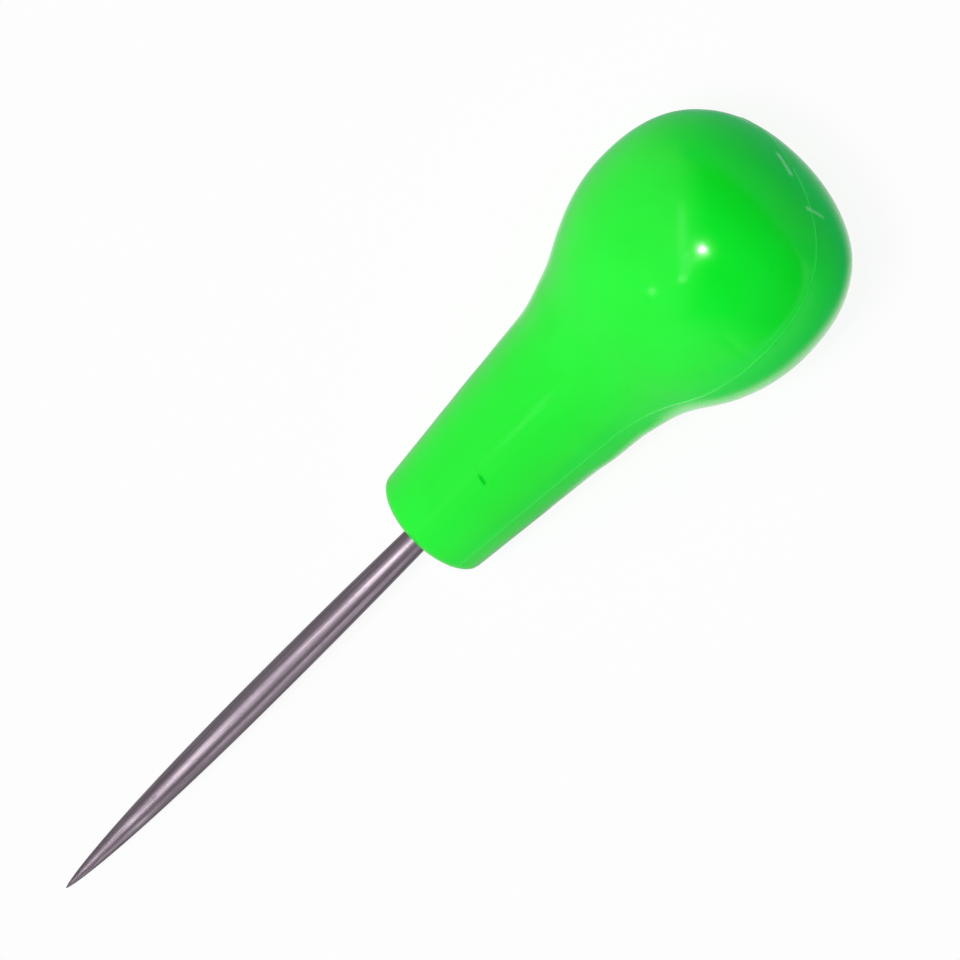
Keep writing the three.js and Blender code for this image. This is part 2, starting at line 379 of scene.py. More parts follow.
def stroke(points, start, end, half_width):
    """1 along the straight stroke from start to end, fading to 0 beside it."""
    a, b = on_skin(*start), on_skin(*end)
    run = b - a
    t = np.clip((points - a) @ run / (run @ run), 0, 1)
    gap = np.linalg.norm(points - (a + t[:, None] * run), axis=1)
    return np.exp(-(gap / half_width) ** 2)


def waver(points, size, seed):
    """Soft noise from -1 to 1 over the skin, with lumps about this size in millimetres."""
    shift = Vector((31.7 * seed, 0, 0))
    return np.array([noise.noise(Vector(p) / size + shift) for p in points])


def relief(points):
    """How far each point of the skin stands out from the turned shape, in millimetres."""
    x = points[:, 0]
    out = WAVE_HEIGHT * waver(points, WAVE_SIZE, 1) + RIPPLE_HEIGHT * waver(points, RIPPLE_SIZE, 2)
    lumpy = WELD_EVENNESS + WELD_LUMPINESS * waver(points, WELD_LUMP_SIZE, 3)
    on_bulb = np.clip((x - GRIP_END_X) / WELD_GROWS_OVER, 0, 1)
    out += (0.5 + 0.5 * on_bulb) * WELD_HEIGHT * lumpy * np.exp(-(points[:, 2] / WELD_HALF_WIDTH) ** 2)
    around = np.arctan2(points[:, 2], points[:, 1])
    grown = np.clip((x - DRIFT_START_X) / DRIFT_GROWS_OVER, 0, 1)
    drifted = grown * np.clip((HANDLE_LENGTH - x) / DRIFT_FADES_OVER, 0, 1)
    out += BULB_DRIFT * drifted * np.cos(around - BULB_DRIFT_TOWARDS)
    out -= NECK_PINCH * np.exp(-((x - NECK_X) / NECK_HALF_LENGTH) ** 2)
    past_block = x - NOSE_BLOCK_END
    healed = np.exp(-np.maximum(past_block, 0) / BLOCK_SINK_LENGTH)
    out -= BLOCK_SINK * healed / (1 + np.exp(-past_block / BLOCK_SINK_EDGE))
    for start, end, half_width, height in MARKS.values():
        out += height * stroke(points, start, end, half_width)
    return out * np.clip((x - outline[0, 0]) / NOSE_FADE, 0, 1)


print("marks on the skin:", len(MARKS))

# %% [markdown]
# ## The outer skin of a shell
#
# Each shell is half of the turned shape, closed by the flat seam face. Rows and columns of the skin
# crowd together at the seam, the cut and the ridges, so that fine relief gets fine faces and the plain
# parts stay light. A subdivided or sculpted mesh would need many more faces for the same edge.

# %% Build the two half skins
ROWS = 250
COLUMNS = 170
SEAM_CLEARANCE = 0.005              # half the hairline between the shells
CUT_X = 14.8
CUT_AROUND = 131.5
RIDGE_X = 69.1
NORMAL_STEP = 0.02
ON_SEAM = 1e-6                      # closer to the seam than this is rounding

row_crowds = [
    (length_at(CUT_X), 0.9, 5),
    (length_at(NOSE_BLOCK_END), 0.4, 3),
    (length_at(RIDGE_X), 0.8, 3),
    (outline_length[-1] - 2.2, 1.5, 2),
]
column_crowds = [(0, 5, 9), (180, 5, 9), (CUT_AROUND, 3, 3)]
row_places = crowded(0, outline_length[-1], ROWS, row_crowds)
row_outline = outline_at(row_places)


def outward_normals():
    ahead = outline_at(np.minimum(row_places + NORMAL_STEP, outline_length[-1]))
    behind = outline_at(np.maximum(row_places - NORMAL_STEP, 0))
    step = ahead - behind
    normal = np.column_stack([-step[:, 1], step[:, 0]])
    return normal / np.linalg.norm(normal, axis=1)[:, None]


def half_skin(name, start_angle):
    """A closed half of the handle whose skin runs half a turn from start_angle, in degrees."""
    turn = np.radians(start_angle + crowded(0, 180, COLUMNS, column_crowds))
    cosine, sine = np.cos(turn), np.sin(turn)
    normals = outward_normals()
    count = COLUMNS + 1
    body_rows = row_outline[:-1]
    points = np.array([(x, r * c, r * s) for x, r in body_rows for c, s in zip(cosine, sine)])
    outwards = np.array([(nx, nr * c, nr * s) for nx, nr in normals[:-1] for c, s in zip(cosine, sine)])
    points += relief(points)[:, None] * outwards
    points[np.abs(points[:, 2]) < ON_SEAM, 2] = 0
    butt = np.array([[HANDLE_LENGTH, 0, 0]])
    pole = len(points)
    faces = []
    for i in range(len(body_rows) - 1):
        here, there = i * count, (i + 1) * count
        for j in range(COLUMNS):
            faces.append((here + j, here + j + 1, there + j + 1, there + j))
        faces.append((here + COLUMNS, here, there, there + COLUMNS))
    final = (len(body_rows) - 1) * count
    for j in range(COLUMNS):
        faces.append((final + j, final + j + 1, pole))
    faces.append((final + COLUMNS, final, pole))
    faces.append(tuple(reversed(range(count))))
    half = as_piece(name, np.vstack([points, butt]), faces)
    lift = SEAM_CLEARANCE if start_angle == 0 else -SEAM_CLEARANCE
    half.data.transform(Matrix.Translation((0, 0, lift)))
    return half


upper_shell = half_skin("upper_shell", 0)
lower_shell = half_skin("lower_shell", 180)
print("half skins:", len(upper_shell.data.vertices), "and", len(lower_shell.data.vertices), "vertices")

# %% [markdown]
# ## Inside the shells
#
# A moulded handle is hollow, because thick plastic sinks and cools slowly. Walls of even thickness are
# held apart by a long rib and by cross ribs. A sleeve grips the tang, a pocket takes its wings, and a
# thick web behind its end takes the push of the hand. None of this shows from outside, but the pieces
# should come apart as such shells would. The space is built as a solid and cut from both halves.

# %% Simple solids for cutting
import bmesh

HOLLOW_SIDES = 64
BORE_SIDES = 48
POST_SIDES = 32


def turned(name, profile, sides):
    """The solid that a profile of (x, radius), starting and ending on the axis, sweeps about X."""
    turn = np.linspace(0, 2 * np.pi, sides, endpoint=False)
    inner = profile[1:-1]
    vertices = [(profile[0][0], 0, 0)]
    for x, radius in inner:
        vertices += [(x, radius * np.cos(a), radius * np.sin(a)) for a in turn]
    vertices.append((profile[-1][0], 0, 0))
    faces = []
    for j in range(sides):
        k = (j + 1) % sides
        faces.append((0, 1 + k, 1 + j))
        for i in range(len(inner) - 1):
            here, there = 1 + i * sides, 1 + (i + 1) * sides
            faces.append((here + j, here + k, there + k, there + j))
        final = 1 + (len(inner) - 1) * sides
        faces.append((final + j, final + k, len(vertices) - 1))
    return as_piece(name, vertices, faces)


def rod(from_x, to_x, radius):
    return turned("rod", [(from_x, 0), (from_x, radius), (to_x, radius), (to_x, 0)], BORE_SIDES)


def raised(shape, from_z, to_z):
    """An outline in the seam plane, given counterclockwise, raised from one height to another."""
    count = len(shape)
    vertices = [(x, y, z) for z in (from_z, to_z) for x, y in shape]
    faces = [tuple(reversed(range(count))), tuple(range(count, 2 * count))]
    faces += [(i, (i + 1) % count, count + (i + 1) % count, count + i) for i in range(count)]
    return as_piece("raised", vertices, faces)


def block(from_x, to_x, width, height):
    y = width / 2
    z = height / 2
    return raised([(from_x, -y), (to_x, -y), (to_x, y), (from_x, y)], -z, z)


def post(x, y, radius, from_z, to_z):
    turn = np.linspace(0, 2 * np.pi, POST_SIDES, endpoint=False)
    return raised([(x + radius * np.cos(a), y + radius * np.sin(a)) for a in turn], from_z, to_z)


def combine(piece, tool, operation):
    """Joins a tool to a piece, or cuts it away, and leaves no modifier behind."""
    step = piece.modifiers.new("step", "BOOLEAN")
    step.operation = operation
    step.solver = "MANIFOLD"
    step.object = tool
    done = piece.evaluated_get(bpy.context.evaluated_depsgraph_get())
    mesh = bpy.data.meshes.new_from_object(done)
    piece.modifiers.clear()
    piece.data = mesh
    bpy.data.objects.remove(tool)


print("helpers: turned, rod, raised, block, post, combine")

# %% [markdown]
# The hollow follows the outline at the wall's thickness. What is to stay inside it is joined into one
# frame, and the frame is cut from the hollow, which leaves the shape of the air. The tang's bore and
# the wings' pocket are then added to it.

# %% Build the space inside
WALL = 2.4
RIB_THICKNESS = 1.6
RIB_PITCH = 9.2
FIRST_RIB_X = 25.2
RIB_COUNT = 5
SLEEVE_WALL = 1.8
CRADLE_WALL = 1.6
WEB_LENGTH = 3
FIT = 0.05                          # the closed shells grip the tang this closely
POCKET_FIT = 0.3
POCKET_HALF_LENGTH = 2.4
POCKET_FLAT = 1.2
POCKET_HALF_WIDTH = 3.3
POCKET_OVERLAP = 0.2                # how far the pocket runs into the bore
POCKET_SLACK = 0.2                  # above and below the wings
PINS = ((7.5, 5.2, 1.1), (57.4, 8.6, 1.3))      # x, distance to each side, and radius
BOSS_WALL = 1.9
REACH = 3 * BULB_RADIUS             # more than the handle's width
OVERLAP = 1                         # how far a rod runs past what it joins or cuts
INSET_STEPS = 400
INSET_EVERY = 6
tang_length = TANG_END - nose_x


def inset(distance, from_x):
    """The outline moved inwards, from from_x to the axis."""
    places = np.linspace(0, outline_length[-1], INSET_STEPS)
    line = outline_at(places)
    step = np.gradient(line, axis=0)
    step /= np.linalg.norm(step, axis=1)[:, None]
    moved = line + distance * np.column_stack([step[:, 1], -step[:, 0]])
    keep = moved[(moved[:, 0] > from_x) & (line[:, 1] > distance)][::INSET_EVERY]
    return [(from_x, keep[0][1]), *map(tuple, keep), (HANDLE_LENGTH - distance, 0)]


def wing_pocket(margin):
    long = POCKET_HALF_LENGTH + margin
    flat = POCKET_FLAT + margin
    wide = POCKET_HALF_WIDTH + margin
    root = SHOULDER_RADIUS - POCKET_OVERLAP + margin
    half = [(-long, -root), (-flat, -wide), (flat, -wide), (long, -root)]
    return [(WING_FROM_NOSE + x, y) for x, y in half + [(-x, -y) for x, y in half]]


def inner_frame():
    sleeve = SHOULDER_RADIUS + FIT + SLEEVE_WALL
    cradle = POCKET_FIT + CRADLE_WALL
    cradle_start = WING_FROM_NOSE - POCKET_HALF_LENGTH - cradle
    cradle_end = WING_FROM_NOSE + POCKET_HALF_LENGTH + cradle
    parts = [
        rod(NOSE_BLOCK_END - OVERLAP, tang_length + OVERLAP, sleeve),
        block(tang_length + POCKET_FIT, tang_length + POCKET_FIT + WEB_LENGTH, REACH, REACH),
        block(cradle_start, cradle_end, 2 * POCKET_HALF_WIDTH + 2 * cradle, 2 * sleeve),
    ]
    for i in range(RIB_COUNT):
        x = FIRST_RIB_X + i * RIB_PITCH
        parts.append(block(x - RIB_THICKNESS / 2, x + RIB_THICKNESS / 2, REACH, REACH))
    for x, y, radius in PINS:
        parts += [post(x, way * y, radius + BOSS_WALL, -REACH, REACH) for way in (-1, 1)]
    whole = block(NOSE_BLOCK_END, HANDLE_LENGTH, RIB_THICKNESS, REACH)
    for part in parts:
        combine(whole, part, "UNION")
    return whole


def inner_space():
    hollow = turned("space", [(NOSE_BLOCK_END, 0), *inset(WALL, NOSE_BLOCK_END)], HOLLOW_SIDES)
    combine(hollow, inner_frame(), "DIFFERENCE")
    combine(hollow, rod(-OVERLAP, tang_length + POCKET_FIT, SHOULDER_RADIUS + FIT), "UNION")
    half = WING_HALF_THICKNESS + POCKET_SLACK
    combine(hollow, raised(wing_pocket(POCKET_FIT), -half, half), "UNION")
    return hollow


space = inner_space()
for shell in (upper_shell, lower_shell):
    cutter = new_piece("cutter", space.data.copy())
    combine(shell, cutter, "DIFFERENCE")
bpy.data.objects.remove(space)
print("hollow halves:", len(upper_shell.data.polygons), "and", len(lower_shell.data.polygons), "faces")

# %% [markdown]
# ## Pins, tongue and groove
#
# Two pairs of pins on the upper shell drop into holes in the lower one, and a low tongue round its rim
# fits a groove. They line the halves up while the seam is welded. Each is a post or a strip that is
# joined to one half and, a little larger, cut from the other.

# %% Fit the halves to each other
PIN_HEIGHT = 2.6
PIN_ROOT = 0.5                      # how far a pin runs into its own shell
PIN_FIT = 0.15
TONGUE_INSET = 0.9
TONGUE_WIDTH = 0.7
TONGUE_HEIGHT = 0.7
TONGUE_ROOT = 0.3
TONGUE_FIT = 0.1
TONGUE_START_X = 3.5
CUT_ABOVE = 0.2                     # how far a hole or groove is cut past the seam


def rim_strip(outer_inset, width, from_x, from_z, to_z):
    """A strip along one side of the rim, round the butt and back along the other side."""
    outer = inset(outer_inset, from_x)
    inner = inset(outer_inset + width, from_x)
    mirrored = [(x, -y) for x, y in outer[:-1]]
    mirrored_inner = [(x, -y) for x, y in inner[:-1]]
    return raised(mirrored + outer[::-1] + inner + mirrored_inner[::-1], from_z, to_z)


tongue = rim_strip(TONGUE_INSET, TONGUE_WIDTH, TONGUE_START_X, -TONGUE_HEIGHT, TONGUE_ROOT)
combine(upper_shell, tongue, "UNION")
groove = rim_strip(
    TONGUE_INSET - TONGUE_FIT, TONGUE_WIDTH + 2 * TONGUE_FIT, TONGUE_START_X - TONGUE_FIT,
    -TONGUE_HEIGHT - TONGUE_FIT, CUT_ABOVE,
)
combine(lower_shell, groove, "DIFFERENCE")
for x, y, radius in PINS:
    for way in (-1, 1):
        combine(upper_shell, post(x, way * y, radius, -PIN_HEIGHT, PIN_ROOT), "UNION")
        hole = post(x, way * y, radius + PIN_FIT, -PIN_HEIGHT - PIN_FIT, CUT_ABOVE)
        combine(lower_shell, hole, "DIFFERENCE")


def open_edges(piece):
    mesh = bmesh.new()
    mesh.from_mesh(piece.data)
    count = sum(not edge.is_manifold for edge in mesh.edges)
    mesh.free()
    return count


for piece in (blade, upper_shell, lower_shell):
    print(piece.name, "faces:", len(piece.data.polygons), "open edges:", open_edges(piece))

# %% [markdown]
# ## Putting the pieces in place
#
# The shells move from the nose to their place along the axis, all three meshes are carried to the
# frame, each one rides on the root body, and the CAD node it stands for is hidden.
# Faces are smoothed except across real edges, such as the rim of the seam face. The skin also stores
# where its ridges and the end of its cut are, for a painted highlight on the ridges and painted shade
# in the cut, because a noise can't find them again.

SHARP_ANGLE = np.radians(38)


def store_marks(shell, layer, names):
    """Stores how much each corner belongs to the named marks, for the material to use."""
    points = corners(shell.data)
    amount = np.zeros(len(points))
    for name in names:
        start, end, half_width, _ = MARKS[name]
        amount = np.maximum(amount, stroke(points, start, end, half_width))
    stored = shell.data.attributes.new(layer, "FLOAT", "POINT")
    stored.data.foreach_set("value", amount)


# Stored for the plastic: a painted highlight on the two ridges and painted shade at the end of the cut.
for shell in (upper_shell, lower_shell):
    store_marks(shell, "pale", ("ridge beside the gate", "ridge across the seam"))
    store_marks(shell, "cut_shade", ("dark end of the cut",))
    shell.data.transform(Matrix.Translation((nose_x, 0, 0)))
for piece, node, slot in (
    (blade, "blade", "blade_steel"),
    (upper_shell, "upper_handle_shell", "handle_plastic"),
    (lower_shell, "lower_handle_shell", "handle_plastic"),
):
    carry_to_frame(piece)
    piece.data.shade_smooth()
    piece.data.set_sharp_from_angle(angle=SHARP_ANGLE)
    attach(piece, "root")
    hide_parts(node)
print("in place:", [piece.name for piece in (blade, upper_shell, lower_shell)])

# %% [markdown]
# ## Helpers for the finishes
#
# A finish is a tree of nodes. One helper adds a node and joins its inputs in one call, so that a finish
# reads as a list of steps, and short ones blend colours, ease a value from one range to another and do
# sums. Another gives a material the awl's own axes in millimetres, so that grain can run along the
# blade and the weld can lie on the seam wherever the awl points.

# %% Helpers for node trees
def add(tree, kind, inputs=None, **settings):
    made = tree.nodes.new(kind)
    for name, value in settings.items():
        setattr(made, name, value)
    for name, value in (inputs or {}).items():
        if isinstance(value, bpy.types.NodeSocket):
            tree.links.new(value, made.inputs[name])
        else:
            made.inputs[name].default_value = value
    return made


def blend(tree, factor, first, second):
    """Mixes two colours by a factor."""
    return add(tree, "ShaderNodeMix", {0: factor, 6: first, 7: second}, data_type="RGBA").outputs[2]


def ramp(tree, value, low, high, to_low=0.0, to_high=1.0):
    """Carries a value smoothly from one range to another."""
    made = add(tree, "ShaderNodeMapRange", {
        "Value": value, "From Min": low, "From Max": high, "To Min": to_low, "To Max": to_high,
    }, interpolation_type="SMOOTHSTEP")
    return made.outputs["Result"]


def maths(tree, operation, first, second=0.0):
    """Works out an operation on one or two values, such as ABSOLUTE or ADD."""
    return add(tree, "ShaderNodeMath", {0: first, 1: second}, operation=operation).outputs[0]


def awl_place(tree):
    """The place on the awl in its own axes, in millimetres from the point."""
    spot = add(tree, "ShaderNodeTexCoord").outputs["Object"]
    turned_back = add(tree, "ShaderNodeMapping", {
        "Vector": spot, "Location": point, "Rotation": to_frame.to_euler(), "Scale": (MM, MM, MM),
    }, vector_type="TEXTURE")
    return turned_back.outputs["Vector"]


def new_material(name):
    material = bpy.data.materials.new(name)
    material.use_nodes = True
    material.node_tree.nodes.clear()
    return material, material.node_tree


def new_group(name, inputs, outputs):
    group = bpy.data.node_groups.new(name, "ShaderNodeTree")
    for label, kind in inputs:
        group.interface.new_socket(label, in_out="INPUT", socket_type=kind)
    for label, kind in outputs:
        group.interface.new_socket(label, in_out="OUTPUT", socket_type=kind)
    return group, add(group, "NodeGroupInput").outputs, add(group, "NodeGroupOutput")


def placed(tree, group, inputs):
    return add(tree, "ShaderNodeGroup", inputs, node_tree=group).outputs


print("helpers: add, blend, ramp, maths, awl_place, new_material, new_group, placed")

# %% [markdown]
# ## Marks that both materials carry
#
# Handling leaves two kinds of mark on steel and plastic alike: hairline scratches, and cloudy patches
# where fingers have polished or dulled the surface. A hairline is found where a slow noise crosses its
# middle value, which draws long thin curves, and a second noise breaks them into short lengths. Both
# effects are node groups, so each material can set their size for itself.

# %% Groups for scratches and clouding
scratches, given, result = new_group(
    "hairline scratches",
    [("Place", "NodeSocketVector"), ("Size", "NodeSocketFloat"), ("Fineness", "NodeSocketFloat")],
    [("Mask", "NodeSocketFloat")],
)
slow = add(scratches, "ShaderNodeTexNoise", {
    "Vector": given["Place"], "Scale": given["Size"],
    "Detail": 1.0, "Roughness": 0.3, "Distortion": 0.6,
}).outputs["Fac"]
from_middle = maths(scratches, "ABSOLUTE", maths(scratches, "SUBTRACT", slow, 0.5))
line = add(scratches, "ShaderNodeMapRange", {
    "Value": from_middle, "From Min": 0.0, "From Max": given["Fineness"], "To Min": 1.0, "To Max": 0.0,
}).outputs["Result"]
breaks = add(scratches, "ShaderNodeTexNoise", {
    "Vector": given["Place"], "Scale": maths(scratches, "MULTIPLY", given["Size"], 3.1), "Detail": 0.0,
}).outputs["Fac"]
kept = ramp(scratches, breaks, 0.52, 0.62)
scratches.links.new(maths(scratches, "MULTIPLY", line, kept), result.inputs["Mask"])

clouding, given, result = new_group(
    "cloudy patches",
    [("Place", "NodeSocketVector"), ("Size", "NodeSocketFloat")],
    [("Amount", "NodeSocketFloat")],
)
patches = add(clouding, "ShaderNodeTexNoise", {
    "Vector": given["Place"], "Scale": given["Size"], "Detail": 3.0, "Roughness": 0.55,
}).outputs["Fac"]
clouding.links.new(ramp(clouding, patches, 0.3, 0.7), result.inputs["Amount"])
print("groups:", [group.name for group in bpy.data.node_groups])

# %% [markdown]
# ## Ground steel
#
# The blade was ground and polished along its length. The wheel leaves streaks many millimetres long
# and from a few hundredths to a few tenths wide, with some hairlines and tiny dark pits, and the steel
# has a faint mauve cast. Noise that is stretched along the blade gives the streaks. They vary the
# colour, the roughness and, through a bump, the way the light spreads round the blade.

# %% Make the steel
steel, tree = new_material("ground_steel")
place = awl_place(tree)
along_grain = add(tree, "ShaderNodeMapping", {
    "Vector": place, "Scale": (0.012, 1, 1),
}).outputs["Vector"]
streaks = add(tree, "ShaderNodeTexNoise", {
    "Vector": along_grain, "Scale": 2.6, "Detail": 5.0, "Roughness": 0.72,
}).outputs["Fac"]
fine_streaks = add(tree, "ShaderNodeTexNoise", {
    "Vector": along_grain, "Scale": 11.0, "Detail": 3.0, "Roughness": 0.6,
}).outputs["Fac"]
long_flecks = add(tree, "ShaderNodeMapping", {"Vector": place, "Scale": (0.4, 1, 1)}).outputs["Vector"]
flecks = add(tree, "ShaderNodeTexNoise", {
    "Vector": long_flecks, "Scale": 5.0, "Detail": 2.0, "Roughness": 0.7,
}).outputs["Fac"]
pits = ramp(tree, flecks, 0.63, 0.72)
patches = placed(tree, clouding, {"Place": place, "Size": 0.16})["Amount"]
hairlines = placed(tree, scratches, {"Place": place, "Size": 0.3, "Fineness": 0.012})["Mask"]

streaked = blend(tree, ramp(tree, streaks, 0.32, 0.68), (0.165, 0.13, 0.16, 1), (0.31, 0.26, 0.30, 1))
clouded = blend(tree, maths(tree, "MULTIPLY", patches, 0.3), streaked, (0.20, 0.155, 0.195, 1))
colour = blend(tree, maths(tree, "MULTIPLY", pits, 0.55), clouded, (0.08, 0.06, 0.08, 1))
streak_dullness = ramp(tree, streaks, 0.3, 0.7, 0.42, 0.32)
dullness = maths(tree, "ADD", streak_dullness, maths(tree, "MULTIPLY", patches, 0.05))
dullness = maths(tree, "ADD", dullness, maths(tree, "MULTIPLY", hairlines, 0.08))
coarse_depth = maths(tree, "MULTIPLY", streaks, 1.4)
depth = maths(tree, "ADD", coarse_depth, maths(tree, "MULTIPLY", fine_streaks, 0.6))
depth = maths(tree, "SUBTRACT", depth, maths(tree, "MULTIPLY", pits, 0.8))
grain = add(tree, "ShaderNodeBump", {"Height": depth, "Distance": 0.004 * MM, "Strength": 0.7})
metal = add(tree, "ShaderNodeBsdfPrincipled", {
    "Base Color": colour, "Metallic": 1.0, "Roughness": dullness, "Normal": grain.outputs["Normal"],
})
add(tree, "ShaderNodeOutputMaterial", {"Surface": metal.outputs["BSDF"]})
blade.data.materials.clear()
blade.data.materials.append(steel)
print("steel nodes:", len(tree.nodes))

# %% [markdown]
# ## Green moulded plastic
#
# The handle is a bright green plastic with a high gloss. A subsurface layer would let light through it.
# A plain base colour under the gloss was chosen instead, because the green is full and even, and it
# renders with less noise. The mould leaves a faint orange-peel, the colour drifts slightly where the
# melt cooled, and the welded seam is paler. The ridges at the butt are painted pale as a painted
# highlight, the end of the cut is painted dark as painted shade, and handling adds hairlines and dull
# patches.

# %% Make the plastic
plastic, tree = new_material("green_plastic")
place = awl_place(tree)
axes = add(tree, "ShaderNodeSeparateXYZ", {"Vector": place}).outputs
off_seam = maths(tree, "ABSOLUTE", axes["Z"])
weld = ramp(tree, off_seam, 0.08, 0.3, 1.0, 0.0)
flow = placed(tree, clouding, {"Place": place, "Size": 0.055})["Amount"]
handled = placed(tree, clouding, {"Place": place, "Size": 0.12})["Amount"]
hairlines = placed(tree, scratches, {"Place": place, "Size": 0.13, "Fineness": 0.005})["Mask"]
orange_peel = add(tree, "ShaderNodeTexNoise", {
    "Vector": place, "Scale": 0.9, "Detail": 2.0, "Roughness": 0.5,
}).outputs["Fac"]

# Painted highlight on the ridges at the butt, read from the stored corners.
ridge_highlight = add(tree, "ShaderNodeAttribute", attribute_name="pale").outputs["Fac"]
# Painted shade at the end of the cut, read from the stored corners.
shade_in_cut = add(tree, "ShaderNodeAttribute", attribute_name="cut_shade").outputs["Fac"]

drifted = blend(tree, flow, (0.0030, 0.77, 0.019, 1), (0.0050, 0.83, 0.028, 1))
rubbed = blend(tree, maths(tree, "MULTIPLY", hairlines, 0.05), drifted, (0.10, 0.90, 0.16, 1))
welded = blend(tree, maths(tree, "MULTIPLY", weld, 0.6), rubbed, (0.03, 0.90, 0.07, 1))
# Pale green painted highlight on the ridges at the butt.
with_ridge_highlight = blend(tree, maths(tree, "MULTIPLY", ridge_highlight, 0.9), welded, (0.30, 0.88, 0.40, 1))
# Dark green painted shade in the end of the cut.
colour = blend(tree, maths(tree, "MULTIPLY", shade_in_cut, 0.7), with_ridge_highlight, (0.004, 0.30, 0.02, 1))
handled_dullness = ramp(tree, handled, 0, 1, 0.13, 0.19)
dullness = maths(tree, "ADD", handled_dullness, maths(tree, "MULTIPLY", hairlines, 0.08))
depth = maths(tree, "SUBTRACT", orange_peel, maths(tree, "MULTIPLY", hairlines, 0.08))
peel = add(tree, "ShaderNodeBump", {"Height": depth, "Distance": 0.008 * MM, "Strength": 1.0})
moulded = add(tree, "ShaderNodeBsdfPrincipled", {
    "Base Color": colour, "Roughness": dullness, "Normal": peel.outputs["Normal"], "IOR": 1.5,
})
add(tree, "ShaderNodeOutputMaterial", {"Surface": moulded.outputs["BSDF"]})
for shell in (upper_shell, lower_shell):
    shell.data.materials.clear()
    shell.data.materials.append(plastic)
print("plastic nodes:", len(tree.nodes))

# %% [markdown]
# ## The floor
#
# The awl lies on a plain white sheet that is lit so strongly that it washes out nearly every shadow.
# The sheet gives off most of its light itself and keeps a thin coat of plain paint, so that a trace of
# shadow still holds the awl down. Shiny surfaces are shown another sheet: white close under the bulb,
# grey on the point's side and a dull blue-green towards the butt, as if the tent were open there. A
# real sheet would be the same for both, but a white one would wash out the bulb's dark side. From
# below, the sheet is clear.

# %% Lay the floor
FLOOR_SIZE = 8.0
SHEET_WHITE = (0.92, 0.92, 0.92, 1)
WHITE_PATCH = (0.043, -0.007, 0)    # the middle of the part that stays white in gloss


def make_floor():
    mesh = bmesh.new()
    bmesh.ops.create_grid(mesh, x_segments=1, y_segments=1, size=FLOOR_SIZE / 2)
    data = bpy.data.meshes.new("floor")
    mesh.to_mesh(data)
    mesh.free()
    sheet = new_piece("floor", data)
    return sheet


floor = make_floor()
paint, tree = new_material("white_sheet")
rays = add(tree, "ShaderNodeLightPath").outputs
spot = add(tree, "ShaderNodeTexCoord").outputs["Object"]
towards_point = add(tree, "ShaderNodeVectorMath", {0: spot, 1: (-0.8, 0.6, 0)}, operation="DOT_PRODUCT")
pale_side = ramp(tree, towards_point.outputs["Value"], -0.075, 0.01)
towards_front = add(tree, "ShaderNodeVectorMath", {0: spot, 1: (-0.5, -0.85, 0)},
                    operation="DOT_PRODUCT")
front = ramp(tree, towards_front.outputs["Value"], 0.0, 0.08)
shaded_sheet = blend(tree, front, (0.05, 0.28, 0.31, 1), (0.32, 0.45, 0.64, 1))
far_sheet = blend(tree, pale_side, shaded_sheet, (0.52, 0.52, 0.52, 1))
from_patch = add(tree, "ShaderNodeVectorMath", {0: spot, 1: WHITE_PATCH}, operation="DISTANCE")
near = ramp(tree, from_patch.outputs["Value"], 0.022, 0.036, 1, 0)
seen_in_gloss = blend(tree, near, far_sheet, SHEET_WHITE)
glow = blend(tree, rays["Is Glossy Ray"], SHEET_WHITE, seen_in_gloss)
light = add(tree, "ShaderNodeEmission", {"Color": glow, "Strength": 1.0}).outputs["Emission"]
white = add(tree, "ShaderNodeBsdfDiffuse", {"Color": (0.06, 0.06, 0.06, 1)}).outputs["BSDF"]
dull = add(tree, "ShaderNodeBsdfDiffuse", {"Color": (0, 0, 0, 1)}).outputs["BSDF"]
coat = add(tree, "ShaderNodeMixShader", {0: rays["Is Glossy Ray"], 1: white, 2: dull}).outputs[0]
lit = add(tree, "ShaderNodeAddShader", {0: light, 1: coat}).outputs[0]
clear = add(tree, "ShaderNodeBsdfTransparent").outputs["BSDF"]
below = add(tree, "ShaderNodeNewGeometry").outputs["Backfacing"]
shown = add(tree, "ShaderNodeMixShader", {0: below, 1: lit, 2: clear}).outputs[0]
add(tree, "ShaderNodeOutputMaterial", {"Surface": shown})
floor.data.materials.append(paint)
print("floor:", FLOOR_SIZE, "m square")

# %% [markdown]
# ## The light
#
# The awl lies in a small light tent with pale walls on the point's side and none on the other, so the
# gloss shows a bright half and a dark half with a crisp border down the bulb. Area lights would do for
# the walls, but a sky made from a few soft steps gives the same border with less noise. The key lamp
# is almost straight above, and a cool fill comes in low from one side. Neither of them is mirrored, so
# that they light the plastic without adding highlights. Those come from three small lamps: one makes
# the flash on top of the bulb and two make the glints. None of them gives the blade its long highlight,
# so it has two wide lamps of its own that light nothing else, which real lamps can't do.

# %% Light the tent
scene.view_settings.view_transform = "Standard"
WALL_LIGHT = 0.54
WALL_FACES = (-0.719, 0.689, -0.092)
WALL_EDGE = 0.195
WALL_START = WALL_EDGE - 0.45       # where the wall's light starts, and where it is full
WALL_FULL = WALL_EDGE + 0.15
END_WALL_FACES = (-0.94, -0.34, 0.0)
STRIP_CENTRE = WALL_EDGE + 0.01     # a bright strip runs along the wall's edge, high up
STRIP_HALF_WIDTH = 0.07
STRIP_LIGHT = 1.7
ROOM_LIGHT = 0.015
BACKDROP = 0.97                     # what the camera sees beyond the sheet
LAMP_DISTANCE = 1.0
BLADE_LAMPS_AIM_X = 60              # from the point

world = bpy.data.worlds.new("tent")
scene.world = world
world.use_nodes = True
tree = world.node_tree
tree.nodes.clear()
looking = add(tree, "ShaderNodeTexCoord").outputs["Generated"]


def facing(direction):
    """How squarely a ray looks in a direction, from -1 to 1."""
    made = add(tree, "ShaderNodeVectorMath", {0: looking, 1: direction}, operation="DOT_PRODUCT")
    return made.outputs["Value"]


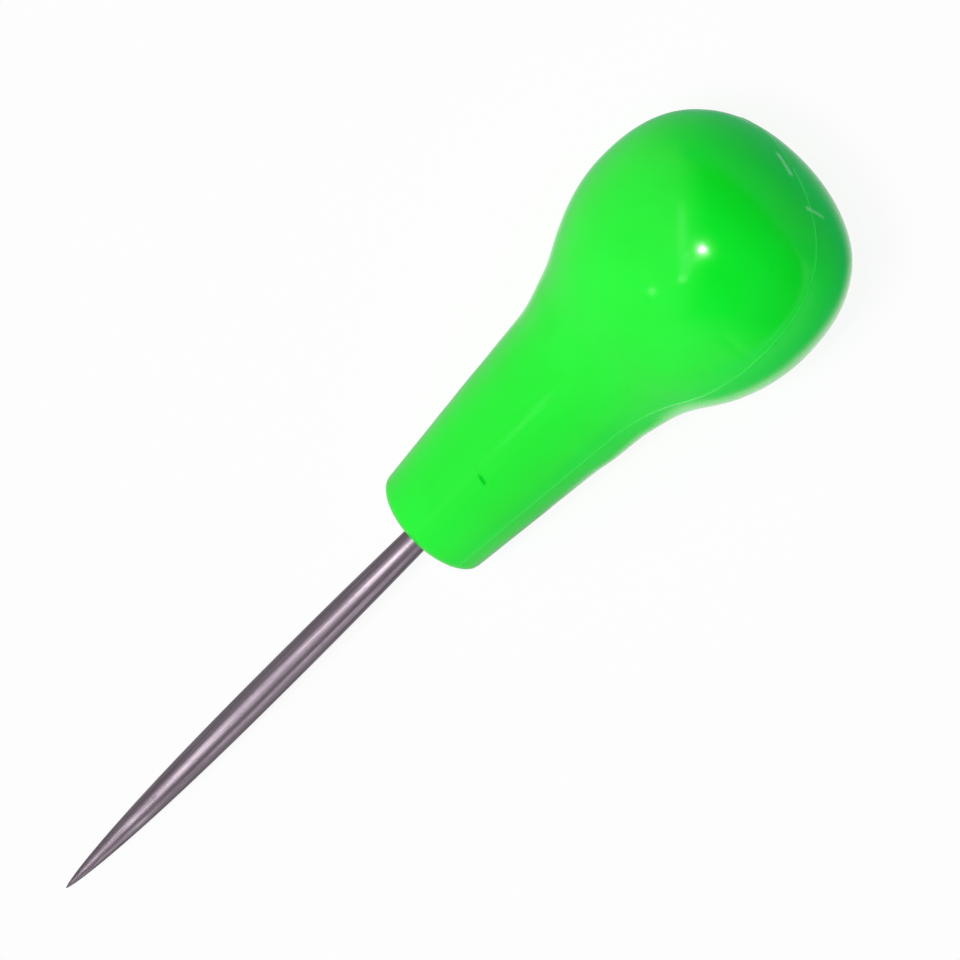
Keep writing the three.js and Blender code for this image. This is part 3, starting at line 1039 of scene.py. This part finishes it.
towards_wall = facing(WALL_FACES)
wall = ramp(tree, towards_wall, WALL_START, WALL_FULL)
end_wall = ramp(tree, facing(END_WALL_FACES), 0.45, 0.8)
walls = maths(tree, "MAXIMUM", wall, end_wall)
from_edge = maths(tree, "ABSOLUTE", maths(tree, "SUBTRACT", towards_wall, STRIP_CENTRE))
high = ramp(tree, facing((0, 0, 1)), 0.6, 0.8)
ahead = ramp(tree, facing((1, 0, 0)), -0.25, -0.08)
strip = ramp(tree, from_edge, 0.0, STRIP_HALF_WIDTH, STRIP_LIGHT, 0.0)
edge_strip = maths(tree, "MULTIPLY", strip, maths(tree, "MULTIPLY", high, ahead))
level = maths(tree, "ADD", maths(tree, "MULTIPLY", walls, WALL_LIGHT), edge_strip)
level = maths(tree, "ADD", level, ROOM_LIGHT)
is_camera = add(tree, "ShaderNodeLightPath").outputs["Is Camera Ray"]
strength = add(tree, "ShaderNodeMix", {0: is_camera, 2: level, 3: BACKDROP}).outputs[0]
sky = add(tree, "ShaderNodeBackground", {"Color": (1, 1, 1, 1), "Strength": strength})
add(tree, "ShaderNodeOutputWorld", {"Surface": sky.outputs["Background"]})


bulb = point + (nose_x + BULB_X) * MM * along


def lamp(name, compass, height, spread, power, target=bulb, colour=(1, 1, 1)):
    """A round lamp that its target sees at a compass angle from +X, a height and a width in degrees."""
    data = bpy.data.lights.new(name, "AREA")
    data.shape = "DISK"
    data.size = 2 * LAMP_DISTANCE * np.tan(np.radians(spread) / 2)
    data.energy = power
    data.color = colour
    holder = bpy.data.objects.new(name, data)
    scene.collection.objects.link(holder)
    a, b = np.radians(compass), np.radians(height)
    direction = Vector((np.cos(a) * np.cos(b), np.sin(a) * np.cos(b), np.sin(b)))
    holder.location = target + LAMP_DISTANCE * direction
    holder.rotation_mode = "QUATERNION"
    holder.rotation_quaternion = direction.to_track_quat("Z", "Y")
    holder.visible_camera = False
    return holder


key = lamp("key_lamp", compass=145, height=78.5, spread=14, power=5.6)
key.visible_glossy = False
fill = lamp("cool_fill", compass=-85, height=25, spread=40, power=1.3, colour=(0.6, 1, 1.5))
fill.visible_glossy = False
lamp("flash", compass=47, height=83.6, spread=4.2, power=2.0)
lamp("upper_glint", compass=181, height=71, spread=1.5, power=0.08)
lamp("lower_glint", compass=166, height=51, spread=1.8, power=0.06)

blade_middle = point + BLADE_LAMPS_AIM_X * MM * along
blade_only = bpy.data.collections.new("blade only")
blade_only.objects.link(blade)
for lamp_for_blade in (
    lamp("blade_strip", compass=157, height=57, spread=38, power=4.9, target=blade_middle),
    lamp("blade_fill", compass=-115, height=18, spread=36, power=1.6, target=blade_middle),
):
    lamp_for_blade.light_linking.receiver_collection = blade_only

# %% [markdown]
# ## The last step
#
# The finished pieces have to keep to the CAD model's size.

# %% Finish
import json
